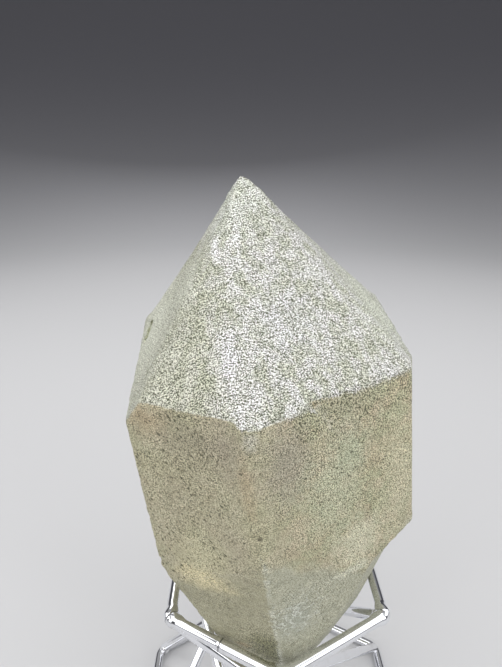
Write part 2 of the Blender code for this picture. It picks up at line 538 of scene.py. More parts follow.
def wipe_marks() -> bpy.types.NodeTree:
    """The dull smears and specks of wiped chrome.

    Returns:
        The group.
    """
    net, given, made = new_group("wipe marks", {"Vector": "Vector"}, ("Dull",))
    smears = net.fade(net.noise(given["Vector"], 5.0, 4.0, 0.6), 0.52, 0.72)
    specks = net.fade(net.noise(given["Vector"], 0.5), 0.66, 0.74)
    net.feed(made["Dull"], net.math("MAXIMUM", net.times(smears, 0.5), specks))
    return net.tree


@dataclass(frozen=True)
class StainOrPaintedLight:
    """One soft patch of colour on the crystal: most are the stone's own colour, and some are painted shade or
    painted highlight.

    Attributes:
        centre: Its place in the crystal's own axes, in millimetres from the crystal's middle.
        radii: Its reach along those axes in millimetres.
        colour: Its colour.
        strength: How much it covers, from 0 to 1.
        on: The zone that it keeps to, or None for all of the stone.
    """

    centre: Triple
    radii: Triple
    colour: Colour
    strength: float
    on: Zone | None = Zone.PRISM


@dataclass(frozen=True)
class QuartzFinish:
    """Frosted quartz full of chlorite: a white sugary crown over a tan and olive prism.

    Attributes:
        crown_tone: The crown's mean colour on its right.
        crown_left_tone: The crown's mean colour on its left.
        prism_tone: The prism's mean colour.
        root_left_tone: The root's mean colour left of the front edge.
        root_right_tone: The root's mean colour right of it.
        olive: What the prism's tone is multiplied by in its wide olive parts.
        dim: The same in its smaller dim parts.
        green_to_pink: The same in its green patches and in its pink ones.
        green_to_white: What the crown's tone is multiplied by in its green patches and in its white ones.
        grain_dark: What the tone is multiplied by in the darkest grains.
        grain_light: What it is multiplied by in the lightest grains.
        speck: What the tone is multiplied by in the specks of chlorite.
        vein: The colour of the healed cracks.
        seam: The colour of the root's pale front edge.
        rubbed: The colour of the worn edges.
        grain: The size of the grains in millimetres.
        lump: The size of the crown's lumps of grains in millimetres.
        roughness: The frost's roughness.
        refraction: The quartz's index of refraction.
        veined: The centre and radii of the patch with healed cracks, in millimetres.
        darkened: The centre and radii of the dark patch's strong grains, in millimetres.
        stains_and_painted_light: The soft patches of colour: most are the stone's own, and some are painted
            shade or painted highlight.
    """

    crown_tone: Colour = (0.488, 0.488, 0.444)
    crown_left_tone: Colour = (0.415, 0.415, 0.34)
    prism_tone: Colour = (0.425, 0.390, 0.275)
    root_left_tone: Colour = (0.37, 0.35, 0.235)
    root_right_tone: Colour = (0.42, 0.415, 0.31)
    olive: Colour = (0.93, 0.99, 0.90)
    dim: Colour = (0.93, 0.92, 0.90)
    green_to_pink: tuple[Colour, Colour] = ((0.94, 1.00, 0.94), (1.06, 1.01, 0.99))
    green_to_white: tuple[Colour, Colour] = ((0.89, 0.905, 0.82), (1.07, 1.06, 1.12))
    grain_dark: Colour = (0.08, 0.09, 0.02)
    grain_light: Colour = (1.78, 1.78, 1.84)
    speck: Colour = (0.12, 0.12, 0.05)
    vein: Colour = (0.74, 0.76, 0.69)
    seam: Colour = (0.66, 0.67, 0.58)
    rubbed: Colour = (0.66, 0.65, 0.55)
    grain: float = 0.165
    lump: float = 0.55
    roughness: float = 0.62
    refraction: float = 1.54
    veined: tuple[Triple, Triple] = ((5.0, -30.5, -27.0), (7.0, 7.0, 9.0))
    darkened: tuple[Triple, Triple] = ((-3.4, -28.5, -41.5), (6.0, 7.0, 9.0))
    stains_and_painted_light: tuple[StainOrPaintedLight, ...] = (
        StainOrPaintedLight((-20.5, -25.2, 24.6), (5.5, 6.0, 3.4), (0.43, 0.335, 0.205), 0.58),
        StainOrPaintedLight((-11.0, -30.0, 21.0), (9.0, 7.0, 6.0), (0.30, 0.27, 0.19), 0.65),
        StainOrPaintedLight((-4.0, -34.0, 21.0), (4.0, 6.0, 7.0), (0.31, 0.27, 0.205), 0.60),
        StainOrPaintedLight((-15.0, -28.5, 10.0), (9.0, 7.0, 9.0), (0.385, 0.35, 0.24), 0.50),
        StainOrPaintedLight((-5.5, -34.0, -4.0), (3.5, 5.0, 9.0), (0.40, 0.36, 0.26), 0.50),
        StainOrPaintedLight((-1.9, -36.0, 14.0), (1.6, 3.0, 8.0), (0.44, 0.36, 0.23), 0.60),
        StainOrPaintedLight((-0.1, -36.1, 24.0), (1.7, 3.0, 2.2), (0.47, 0.455, 0.39), 0.70),
        StainOrPaintedLight((6.0, -32.0, 16.0), (6.5, 5.0, 11.0), (0.33, 0.295, 0.24), 0.65),
        StainOrPaintedLight((15.0, -28.0, 5.0), (9.0, 7.0, 13.0), (0.455, 0.465, 0.335), 0.60),
        StainOrPaintedLight((19.5, -25.0, 12.5), (4.0, 5.0, 6.0), (0.42, 0.45, 0.32), 0.55),
        StainOrPaintedLight((18.0, -26.0, 19.0), (4.5, 5.0, 3.0), (0.44, 0.415, 0.315), 0.50),
        StainOrPaintedLight((18.5, -26.0, 23.4), (14.0, 6.0, 3.4), (0.33, 0.32, 0.22), 0.75),
        StainOrPaintedLight((-14.0, -29.0, -9.0), (8.0, 6.0, 8.0), (0.50, 0.465, 0.305), 0.65),
        StainOrPaintedLight((-14.0, -29.0, -15.6), (9.5, 4.0, 4.2), (0.70, 0.62, 0.38), 0.72, None),
        StainOrPaintedLight((31.0, -19.0, 0.0), (6.0, 9.0, 16.0), (0.55, 0.52, 0.37), 0.62),
        StainOrPaintedLight((20.0, -25.0, -12.0), (7.0, 7.0, 6.0), (0.63, 0.61, 0.46), 0.67),
        # Dark chlorite with painted shade on it: the root's downward-facing face left of the front edge,
        # beside the ring.
        StainOrPaintedLight((-2.8, -28.3, -40.0), (4.6, 6.0, 7.6), (0.19, 0.188, 0.10), 0.88, Zone.LEFT_ROOT),
        StainOrPaintedLight((-9.0, -25.2, -43.0), (1.8, 3.0, 1.5), (0.42, 0.32, 0.18), 0.60, Zone.ROOT),
        # Dark chlorite with painted shade on it, lower on the same downward-facing root face.
        StainOrPaintedLight((-2.4, -27.5, -46.0), (5.0, 6.0, 4.0), (0.15, 0.15, 0.075), 0.80, Zone.LEFT_ROOT),
        StainOrPaintedLight((4.5, -30.5, -28.0), (4.5, 5.0, 8.0), (0.37, 0.39, 0.33), 0.60, None),
        StainOrPaintedLight((18.0, -26.8, -19.0), (6.0, 5.0, 1.5), (0.62, 0.62, 0.50), 0.70, None),
        # Painted highlight: a lavender-white streak down the crown's front ridge.
        StainOrPaintedLight((-2.3, -26.0, 36.5), (2.4, 5.0, 9.0), (0.62, 0.605, 0.63), 0.75, Zone.CROWN),
        StainOrPaintedLight((-1.5, -31.5, 30.5), (4.0, 6.0, 5.0), (0.58, 0.57, 0.565), 0.55, Zone.CROWN),
        StainOrPaintedLight((9.5, -18.5, 39.3), (7.0, 6.0, 8.0), (0.56, 0.56, 0.565), 0.50, Zone.CROWN),
        StainOrPaintedLight((-3.7, -8.7, 52.1), (0.9, 3.0, 6.0), (0.72, 0.71, 0.72), 0.85, Zone.CROWN),
        StainOrPaintedLight((0.8, -9.5, 53.9), (0.9, 3.0, 5.0), (0.72, 0.71, 0.72), 0.85, Zone.CROWN),
        # Painted light: pale sage that lifts the crown's left side face, which the lamps light less than its
        # front.
        StainOrPaintedLight((-22.0, 2.0, 35.0), (9.0, 19.0, 16.0), (0.62, 0.63, 0.535), 0.75, Zone.CROWN),
        StainOrPaintedLight((-10.6, -8.0, 46.0), (5.0, 8.0, 8.0), (0.58, 0.59, 0.50), 0.60, Zone.CROWN),
        # Painted light: the same pale lift on the crown's right side face.
        StainOrPaintedLight((30.0, 0.0, 34.0), (9.0, 13.0, 16.0), (0.62, 0.64, 0.54), 0.75, Zone.CROWN),
        StainOrPaintedLight((0.0, -3.0, 60.0), (9.0, 9.0, 9.0), (0.52, 0.54, 0.47), 0.60, Zone.CROWN),
        StainOrPaintedLight((12.5, -28.2, 25.5), (1.6, 2.0, 0.7), (0.27, 0.205, 0.11), 0.55, None),
        StainOrPaintedLight((12.9, -28.4, 24.8), (0.9, 2.0, 1.3), (0.48, 0.46, 0.37), 0.70),
        StainOrPaintedLight((14.0, -28.2, 22.9), (0.8, 2.0, 1.3), (0.48, 0.46, 0.37), 0.70),
        StainOrPaintedLight((15.2, -27.6, 20.5), (0.8, 2.0, 1.6), (0.48, 0.46, 0.37), 0.70),
        # Painted shadow: these three darken the groove in the crown's left face, where shade falls in the
        # notch.
        StainOrPaintedLight((-23.4, 8.1, 31.4), (1.0, 1.7, 0.9), (0.15, 0.16, 0.07), 0.85, Zone.CROWN),
        StainOrPaintedLight((-24.1, 6.6, 30.1), (1.0, 1.7, 0.9), (0.20, 0.21, 0.10), 0.85, Zone.CROWN),
        StainOrPaintedLight((-24.6, 4.4, 28.9), (1.0, 1.7, 0.9), (0.24, 0.25, 0.13), 0.80, Zone.CROWN),
        StainOrPaintedLight((-0.7, -36.5, 1.9), (0.65, 1.4, 0.5), (0.06, 0.05, 0.03), 0.90),
        StainOrPaintedLight((-7.4, -32.9, -6.4), (0.5, 1.2, 0.35), (0.10, 0.09, 0.05), 0.85),
        StainOrPaintedLight((-2.7, -35.3, 17.3), (0.4, 1.0, 0.25), (0.08, 0.07, 0.04), 0.85),
        StainOrPaintedLight((-18.3, -26.8, 21.7), (0.5, 1.2, 0.45), (0.06, 0.06, 0.03), 0.90),
        StainOrPaintedLight((-9.1, -31.9, 23.5), (0.45, 1.2, 0.4), (0.08, 0.08, 0.04), 0.85),
        StainOrPaintedLight((-17.9, -27.1, 18.0), (0.5, 1.2, 0.4), (0.07, 0.07, 0.03), 0.85),
        StainOrPaintedLight((6.0, 30.0, 12.0), (12.0, 8.0, 16.0), (0.34, 0.36, 0.26), 0.55),
        StainOrPaintedLight((-16.0, 24.0, -20.0), (10.0, 9.0, 9.0), (0.47, 0.41, 0.27), 0.55, None),
        StainOrPaintedLight((33.0, 4.0, 14.0), (6.0, 9.0, 10.0), (0.45, 0.39, 0.27), 0.50),
        StainOrPaintedLight((-26.0, 2.0, -4.0), (5.0, 9.0, 12.0), (0.34, 0.36, 0.25), 0.50),
    )

    def build(self, middle: Vector, axes: Matrix) -> bpy.types.Material:
        """Makes the material.

        Args:
            middle: The crystal's middle, in metres.
            axes: The turn of the crystal's own axes.

        Returns:
            The material.
        """
        return QuartzPaint(self, middle, axes).build()


class QuartzPaint:
    """The layers of the frosted quartz, with the places and masks that they share.

    Attributes:
        finish: The colours and sizes to paint with.
        material: The material.
        net: The material's net.
        shader: The inputs of its shader.
        place: The point in the crystal's own axes, in millimetres from the crystal's middle.
        side: How far the point is to the right of the front edge, in millimetres.
        fine: The value and height of the grains.
        lumps: The same of the lumps of grains.
        stain_or_light: The group of the soft patches.
        bloom: How much white crystals overgrow the green ones of the crown, from 0 to 1.
        zones: The mask of each zone.
    """

    def __init__(self, finish: QuartzFinish, middle: Vector, axes: Matrix) -> None:
        """Starts the material.

        Args:
            finish: The colours and sizes to paint with.
            middle: The crystal's middle, in metres.
            axes: The turn of the crystal's own axes.
        """
        self.finish = finish
        self.material, self.net, self.shader = new_material("frosted_chlorite_quartz")
        net = self.net
        self.place = net.local(net.point(), (MM, MM, MM), middle, axes.to_euler())
        self.side = net.carried(Skin.SIDE.value)
        grain = sugar_grain()
        self.fine = net.group(grain, {"Vector": self.place, "Per mm": 1.0 / finish.grain})
        self.lumps = net.group(grain, {"Vector": self.place, "Per mm": 1.0 / finish.lump})
        self.stain_or_light = soft_stain_or_light()
        self.bloom = self._bloom()
        scatter = net.times(net.plus(self.fine["Value"], -0.5), net.fade(self.side, 4.0, 10.0, 0.4, 2.6))
        crown, root = self._inside(Skin.CROWN, 0.5, 0.18, scatter), self._inside(Skin.ROOT, 5.0, 2.0, 0.0)
        self.zones = {
            Zone.CROWN: crown,
            Zone.PRISM: net.math("SUBTRACT", 1.0, crown),
            Zone.ROOT: root,
            Zone.LEFT_ROOT: net.times(root, net.fade(self.side, 0.30, -0.20)),
        }

    def build(self) -> bpy.types.Material:
        """Lays the layers one over the other.

        Returns:
            The material.
        """
        net, mean = self.net, self.finish.roughness
        colour, height = self._grained(self._veined(self._with_stains_and_painted_light(self._tones())))
        colour, height = self._worn(self._specked(colour), height)
        net.feed(self.shader["Base Color"], colour)
        frost = net.fade(net.noise(self.place, 1.4), 0.3, 0.7, mean - 0.10, mean + 0.08)
        net.feed(self.shader["Roughness"], frost)
        net.feed(self.shader["Normal"], net.bump(height))
        self.shader["IOR"].default_value = self.finish.refraction
        return self.material

    def _inside(self, skin: Skin, lump: float, wander: float, scatter: Feed) -> Socket:
        """A mask that is 1 inside a zone, with a border that wanders.

        Args:
            skin: The distance from the zone's border that the mesh carries.
            lump: The size of the border's wander along it, in millimetres.
            wander: How far the border wanders, in millimetres.
            scatter: How far single grains lie over the border, in millimetres.

        Returns:
            The mask.
        """
        net = self.net
        far = net.plus(net.carried(skin.value), scatter)
        return net.fade(net.times(net.swing(self.place, lump, 3.0), 4.0 * wander, far), -wander, wander)

    def _patch(self, centre: Triple, radii: Triple, wander: Feed = 0.0) -> Socket:
        """The mask of one soft patch."""
        feeds = {"Vector": self.place, "Centre": centre, "Radii": radii, "Wander": wander}
        return self.net.group(self.stain_or_light, feeds)["Mask"]

    def _bloom(self) -> Socket:
        """Patches of white crystals, drawn out down the crown and fainter on its left.

        Returns:
            How much the white crystals overgrow the green ones, from 0 to 1.
        """
        net = self.net
        low, high = net.fade(self.side, -14.0, -3.0, 0.36, 0.0), net.fade(self.side, -14.0, -3.0, 0.64, 1.0)
        return net.fade(net.noise(net.local(self.place, (2.6, 2.6, 6.0)), 1.0, 3.0), 0.36, 0.64, low, high)

    def _tones(self) -> Socket:
        """The mean colour of each zone, with slow changes over it.

        Returns:
            The colour.
        """
        net, finish, place, side = self.net, self.finish, self.place, self.side
        olive = net.fade(net.noise(place, 11.0), 0.40, 0.62, 0.0, 0.45)
        prism = net.tinted(finish.prism_tone, finish.olive, olive)
        prism = net.tinted(prism, finish.dim, net.fade(net.noise(place, 5.0, 3.0), 0.35, 0.65))
        patches = net.fade(net.noise(net.aside(place, (9.0, 4.0, 2.0)), 3.4, 4.0, 0.6), 0.36, 0.64)
        patched = net.tinted(prism, net.blend(patches, *finish.green_to_pink))
        prism = net.blend(net.fade(side, 2.0, 9.0, 0.25, 1.0), prism, patched)
        root = net.blend(net.fade(side, -1.2, 0.6), finish.root_left_tone, finish.root_right_tone)
        crown = net.blend(net.fade(side, 2.0, -9.0), finish.crown_tone, finish.crown_left_tone)
        crown = net.tinted(crown, net.blend(self.bloom, *finish.green_to_white))
        return net.blend(self.zones[Zone.CROWN], net.blend(self.zones[Zone.ROOT], prism, root), crown)

    def _with_stains_and_painted_light(self, colour: Socket) -> Socket:
        """Lays the soft patches over the colour, each on its own zone; most are the stone's own colour and
        some are painted shade or painted highlight.

        Args:
            colour: The colour so far.

        Returns:
            The colour with its patches.
        """
        net = self.net
        wander = net.times(net.swing(self.place, 2.0, 5.0, 0.7), 1.7)
        for stain_or_light in self.finish.stains_and_painted_light:
            mask = self._patch(stain_or_light.centre, stain_or_light.radii, wander)
            if stain_or_light.on is not None:
                mask = net.times(mask, self.zones[stain_or_light.on])
            colour = net.blend(net.times(mask, stain_or_light.strength), colour, stain_or_light.colour)
        return colour

    def _veined(self, tone: Socket) -> Socket:
        """Draws pale curved lines near the lower end, where the stone is clearer, and down its front edge.

        Args:
            tone: The colour so far.

        Returns:
            The colour with its lines.
        """
        net, finish, place = self.net, self.finish, self.place
        veins = net.group(pale_veins(), {"Vector": place, "Size": 3.6, "Width": 0.035})["Mask"]
        tone = net.blend(net.times(net.times(veins, self._patch(*finish.veined)), 0.85), tone, finish.vein)
        off = net.math("ABSOLUTE", net.times(net.swing(place, 1.5, 3.0), 1.6, self.side))
        line = net.times(net.fade(off, 0.8, 0.15), net.fade(net.noise(place, 2.5), 0.35, 0.60))
        return net.blend(net.times(net.times(line, self.zones[Zone.ROOT]), 0.55), tone, finish.seam)

    def _grained(self, tone: Socket) -> tuple[Socket, Socket]:
        """Breaks the tone up in grains, coarse on the crown and fine on the prism.

        Args:
            tone: The mean colour.

        Returns:
            The colour and the relief in millimetres.
        """
        net, finish, place, side, zones = self.net, self.finish, self.place, self.side, self.zones
        up = net.add("SeparateXYZ", {"Vector": place}).outputs["Z"]
        even = net.fade(net.noise(place, 7.0), 0.38, 0.62, 0.55, 0.95)
        even = net.plus(even, net.fade(side, 5.0, 12.0, 0.0, 0.30))
        even = net.times(even, net.fade(up, -14.0, 12.0, 0.65, 1.0))
        below = net.times(net.fade(net.carried(Skin.CROWN.value), -8.0, -3.0), net.fade(side, 6.0, 13.0))
        coarse = net.math("MAXIMUM", zones[Zone.CROWN], net.times(below, 0.80))
        dark = net.times(self._patch(*finish.darkened), zones[Zone.LEFT_ROOT])
        gain = net.times(coarse, 1.6, net.times(dark, 3.4, even))
        drift = net.swing(place, 2.2, 3.0)
        crown_drift = net.times(self.bloom, 0.09, net.times(drift, 0.06, -0.09))
        drift = net.times(drift, net.times(zones[Zone.ROOT], 0.12, 0.10))
        middle = net.plus(net.times(crown_drift, zones[Zone.CROWN], drift), 0.5)
        value = net.times(net.plus(self.fine["Value"], -0.5), gain, middle)
        factor = net.blend(net.fade(value, 0.0, 1.0), finish.grain_dark, finish.grain_light)
        tall = net.times(self.lumps["Height"], 0.02, net.times(self.fine["Height"], 0.03))
        height = net.times(tall, zones[Zone.CROWN], net.times(self.fine["Height"], 0.01))
        return net.tinted(tone, factor), net.times(net.noise(place, 2.4), 0.12, height)

    def _specked(self, colour: Socket) -> Socket:
        """Strews dark olive specks of chlorite over the prism, thickest on the left of the front edge.

        Args:
            colour: The colour so far.

        Returns:
            The colour with its specks.
        """
        net, place, side = self.net, self.place, self.side
        specks = long_specks()
        thick = net.plus(net.fade(side, -1.0, -7.0, 0.0, 0.45), net.fade(side, 5.0, 12.0, 0.0, 0.22))
        amount = net.plus(thick, net.times(net.swing(place, 6.0, 3.0), 0.8, -0.32))
        on_prism = net.times(self.zones[Zone.PRISM], net.times(self.zones[Zone.ROOT], -0.55, 1.0))
        feeds = {"Vector": place, "Turn": (0.0, math.radians(42.0), math.radians(-28.0))}
        for size, shift, depth in (((1.35, 1.1, 0.66), -0.06, 0.92), ((0.80, 0.65, 0.42), 0.14, 0.80)):
            mask = net.group(specks, {**feeds, "Size": size, "Amount": net.plus(amount, shift)})["Mask"]
            colour = net.tinted(colour, self.finish.speck, net.times(net.times(mask, on_prism), depth))
        return colour

    def _worn(self, colour: Socket, height: Socket) -> tuple[Socket, Socket]:
        """Whitens the crown's worn edges a little and nibbles the relief of all edges.

        Args:
            colour: The colour so far.
            height: The relief so far, in millimetres.

        Returns:
            Both with the wear.
        """
        net, place = self.net, self.place
        rub = net.fade(net.times(net.noise(place, 0.8, 3.0), 0.8, net.carried(Skin.EDGE.value)), 0.9, 0.35)
        pale = net.times(rub, net.times(self.zones[Zone.CROWN], 0.22, 0.10))
        height = net.times(net.times(rub, net.noise(place, 0.5)), -0.12, height)
        return net.blend(pale, colour, self.finish.rubbed), height


@dataclass(frozen=True)
class Facet:
    """One flat face of the crystal.

    Attributes:
        normal: Its outward normal.
        reach: Its distance from the origin in millimetres.
        zone: The kind of face that it is.
    """

    normal: Vector
    reach: float
    zone: Zone

    def is_same(self, other: Facet) -> bool:
        """Whether both lie in one plane, but for roundings."""
        least_cosine, most_apart = 0.99995, 0.05
        return self.normal.dot(other.normal) > least_cosine and abs(self.reach - other.reach) < most_apart


@dataclass
class QuartzCrystal:
    """The crystal: its faces, its fine mesh and what that mesh carries for its material.

    Attributes:
        node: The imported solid's name.
        lean_left: How far the axis leans to the left, in degrees.
        lean_forward: How far it leans to the front, in degrees.
        foot: Where the axis crosses the ring's plane, in millimetres.
        rise: How far up the axis the crystal's middle is from there, in millimetres.
        apex: The height of the point above that middle, in millimetres.
        crown_slope: The least slope, as a sine, of a crown face.
        root_slope: The slope, as a sine, below which a face belongs to the root.
        front_least: The least forward part of the normal of a front face.
        down_least: The least downward part of the normal of a front face below the ring.
        least_facet: The smallest face that counts as one, in square millimetres.
        chip_height: How far points may stand over a face that counts as one, in millimetres.
        fineness: How much of the octree's cube the crystal's height takes, which sets the mesh's cell.
        step_reach: How far behind a face, in millimetres, a growth step still counts as that face.
        farthest: The greatest distance that the mesh carries, in millimetres.
        nick: The middle of the groove in the crown's left face, in the crystal's own axes in millimetres.
        sunk: How far the two lowest front faces stand out over the solid's, in millimetres.
        reliefs: The faint waves of the faces, the sugary crown and the nibbled edges.
        finish: The crystal's material.
    """

    node: str = "crystal"
    lean_left: float = 6.24
    lean_forward: float = 3.88
    foot: tuple[float, float] = (0.3, 2.0)
    rise: float = 45.0
    apex: float = 63.5
    crown_slope: float = 0.35
    root_slope: float = -0.12
    front_least: float = 0.5
    down_least: float = 0.6
    least_facet: float = 12.0
    chip_height: float = 0.20
    fineness: float = 0.86
    step_reach: float = 6.0
    farthest: float = 60.0
    nick: Triple = (-23.7, 4.5, 31.0)
    sunk: float = 1.8
    reliefs: tuple[Relief, ...] = (
        Relief("waves", 9.0, 2, 0.30, 0.5),
        Relief("sugar", 0.9, 1, 0.16, 0.6, "crown"),
        Relief("edge nibbles", 1.7, 1, -0.45, 0.35, "edges"),
    )
    finish: QuartzFinish = QuartzFinish()

    def axes(self) -> Matrix:
        """The turn of the crystal's own axes: Z up its length, X across.

        Returns:
            The turn, as a matrix.
        """
        left, forward = math.tan(math.radians(self.lean_left)), math.tan(math.radians(self.lean_forward))
        up = Vector((-left, -forward, 1.0)).normalized()
        across = (Vector((1.0, 0.0, 0.0)) - up * up.x).normalized()
        return Matrix((across, up.cross(across), up)).transposed()

    def middle(self) -> Vector:
        """The point of the axis that places on the crystal are measured from.

        Returns:
            The point, in metres.
        """
        ring_height = sum(corner.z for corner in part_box("ring_left")) / 2
        foot = Vector((self.foot[0] * MM, self.foot[1] * MM, ring_height))
        return foot + self.axes() @ Vector((0.0, 0.0, self.rise * MM))

    def facets(self, solid: bpy.types.Object) -> list[Facet]:
        """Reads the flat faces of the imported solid.

        Args:
            solid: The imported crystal.

        Returns:
            Each large face that the whole solid lies behind.
        """
        points = coordinates(solid) / MM
        up = self.axes().col[2]
        flats: list[Facet] = []
        areas: list[float] = []
        for polygon in solid.data.polygons:
            zone = self._zone(polygon.normal.dot(up))
            face = Facet(polygon.normal.copy(), polygon.center.dot(polygon.normal) / MM, zone)
            index = next((index for index, flat in enumerate(flats) if flat.is_same(face)), len(flats))
            if index == len(flats):
                flats.append(face)
                areas.append(0.0)
            areas[index] += polygon.area / MM**2
        over = [(points @ np.array(flat.normal)).max() - flat.reach for flat in flats]
        found = zip(flats, areas, over)
        return [flat for flat, area, high in found if area >= self.least_facet and high <= self.chip_height]

    def _zone(self, slope: float) -> Zone:
        """The kind of face with this slope, as a sine."""
        return Zone.CROWN if slope > self.crown_slope else Zone.ROOT if slope < self.root_slope else Zone.PRISM

    def build(self) -> list[bpy.types.Object]:
        """Makes the crystal's mesh in place of its solid.

        Returns:
            The finished piece, alone in its list.
        """
        solid = frame["nodes"][self.node]
        facets = self.facets(solid)
        piece = solid.copy()
        piece.data = solid.data.copy()
        piece.name = "frosted_crystal"
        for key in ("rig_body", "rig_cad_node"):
            del piece[key]
        piece.parent = None
        bpy.context.scene.collection.objects.link(piece)
        self._divide(piece)
        self._sink(piece, facets)
        self._wear(piece, self._carry(piece, facets))
        self._carry(piece, facets)
        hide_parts(self.node)
        finish_with(piece, self.finish.build(self.middle(), self.axes()), Slot.CRYSTAL)
        LOG.info("%s: %d flat faces read", self.node, len(facets))
        return [piece]

    def _divide(self, piece: bpy.types.Object) -> None:
        """Divides the mesh finely, upright in its own axes, with its sharp edges kept.

        Args:
            piece: The crystal's mesh.
        """
        with editing(piece):
            bpy.ops.mesh.remove_doubles(threshold=SAME_PLACE)
        place = Matrix.Translation(self.middle()) @ self.axes().to_4x4()
        piece.matrix_world = place.inverted()
        settle(piece)
        cells = {"octree_depth": 8, "scale": self.fineness}
        apply_modifier(piece, "REMESH", mode="SHARP", use_smooth_shade=True, **cells)
        piece.matrix_world = place
        settle(piece)

    @staticmethod
    def _depths(piece: bpy.types.Object, facets: Sequence[Facet]) -> tuple[np.ndarray, np.ndarray]:
        """Measures every point from every flat face.

        Args:
            piece: The crystal's mesh.
            facets: The flat faces.

        Returns:
            How far each point is in front of each face, in millimetres, and the faces' normals.
        """
        normals = np.array([facet.normal for facet in facets])
        reaches = np.array([facet.reach for facet in facets])
        return coordinates(piece) / MM @ normals.T - reaches, normals

    def _sink(self, piece: bpy.types.Object, facets: Sequence[Facet]) -> None:
        """Lets the two lowest front faces run on below the ring, so that no gap shows between stone and wire.

        Args:
            piece: The crystal's mesh.
            facets: The flat faces.
        """
        depth, normals = self._depths(piece, facets)
        turned = [self.axes().transposed() @ facet.normal for facet in facets]
        under = np.array([-normal.y > self.front_least and -normal.z > self.down_least for normal in turned])
        own = depth.argmax(axis=1)
        cosines = (normals @ normals.T)[own]
        room = -depth / np.maximum(cosines, LEAST_ANGLE)
        room = np.where(under[None] | (cosines < LEAST_ANGLE), np.inf, room).min(axis=1)
        self._weigh(piece, "under", np.where(under[own], ramp(room, 0.0, self.sunk), 0.0))
        apply_modifier(piece, "DISPLACE", strength=self.sunk * MM, mid_level=0.0, vertex_group="under")
        piece.vertex_groups.clear()

    def _carry(self, piece: bpy.types.Object, facets: Sequence[Facet]) -> dict[Skin, np.ndarray]:
        """Writes each point's distance from the edges and the zones' borders to the mesh.

        Args:
            piece: The crystal's mesh.
            facets: The flat faces.

        Returns:
            The distances as written, in millimetres.
        """
        depth, normals = self._depths(piece, facets)
        facing = np.empty(depth.shape[0] * 3, np.float32)
        piece.data.vertex_normals.foreach_get("vector", facing)
        own = (depth + self.step_reach * facing.reshape(-1, 3) @ normals.T).argmax(axis=1)
        sines = np.linalg.norm(np.cross(normals[:, None], normals[None]), axis=2)
        across = -depth / np.maximum(sines[own], LEAST_ANGLE)
        across[np.arange(len(own)), own] = np.inf
        fields = {Skin.EDGE: np.clip(across.min(axis=1), 0.0, self.farthest)}
        for skin, zone in ((Skin.CROWN, Zone.CROWN), (Skin.ROOT, Zone.ROOT)):
            inside = np.array([facet.zone is zone for facet in facets])
            to_others = np.where(inside[None], np.inf, across).min(axis=1)
            to_zone = np.where(inside[None], across, np.inf).min(axis=1)
            fields[skin] = np.clip(np.where(inside[own], to_others, -to_zone), -self.farthest, self.farthest)
        left, right = self._front_pair(facets)
        bisector = np.array(right.normal - left.normal)
        front_edge = right.reach - left.reach
        fields[Skin.SIDE] = (coordinates(piece) / MM @ bisector - front_edge) / np.linalg.norm(bisector)
        fields = {skin: np.asarray(values, np.float32) for skin, values in fields.items()}
        for skin, values in fields.items():
            number_layer(piece, skin.value).data.foreach_set("value", values)
        return fields

    def _front_pair(self, facets: Iterable[Facet]) -> tuple[Facet, Facet]:
        """The two prism faces that meet in the front edge, left then right.

        Args:
            facets: The flat faces.

        Returns:
            The left face and the right one.
        """
        turned = self.axes().transposed()
        prism = [facet for facet in facets if facet.zone is Zone.PRISM]
        front = [facet for facet in prism if -(turned @ facet.normal).y > self.front_least]
        front.sort(key=lambda facet: (turned @ facet.normal).x)
        return front[0], front[-1]

    @staticmethod
    def _weigh(piece: bpy.types.Object, name: str, shares: np.ndarray) -> None:
        """Writes a vertex group in steps of a twentieth, which is quick on a fine mesh."""
        weigh(piece, name, np.round(shares * 20) / 20)

    def _wear(self, piece: bpy.types.Object, carried: dict[Skin, np.ndarray]) -> None:
        """Rounds the edges a little, and raises the sugary crown and the faint waves of the faces.

        Args:
            piece: The crystal's mesh.
            carried: What each point carries.
        """
        edge, crown, side = carried[Skin.EDGE], carried[Skin.CROWN], np.abs(carried[Skin.SIDE])
        own = (coordinates(piece) - np.array(self.middle())) @ np.array(self.axes()) / MM
        below_apex = ramp(own[:, 2], self.apex - 3.0, self.apex - 11.0)
        off_nick = ramp(np.linalg.norm(own - np.array(self.nick), axis=1), 3.9, 6.9)
        self._weigh(piece, "crown", ramp(crown, -0.3, 0.3))
        # Each pair of distances says where a share is nothing and where it is whole.
        for name, shares, rounds in (
            ("ridge", ramp(side, 3.9, 0.9) * ramp(crown, 0.5, 4.5) * below_apex, 40),
            ("shoulders", ramp(edge, 6.0, 2.0) * ramp(crown, 1.0, 6.0) * below_apex * off_nick, 160),
            ("front edge", ramp(side, 3.38, 0.78) * ramp(crown, -0.5, -3.5), 30),
            ("edges", ramp(edge, 1.6, 0.6), 2),
        ):
            self._weigh(piece, name, shares)
            apply_modifier(piece, "SMOOTH", factor=0.5, iterations=rounds, vertex_group=name)
        for relief in self.reliefs:
            relief.press(piece)
        piece.vertex_groups.clear()


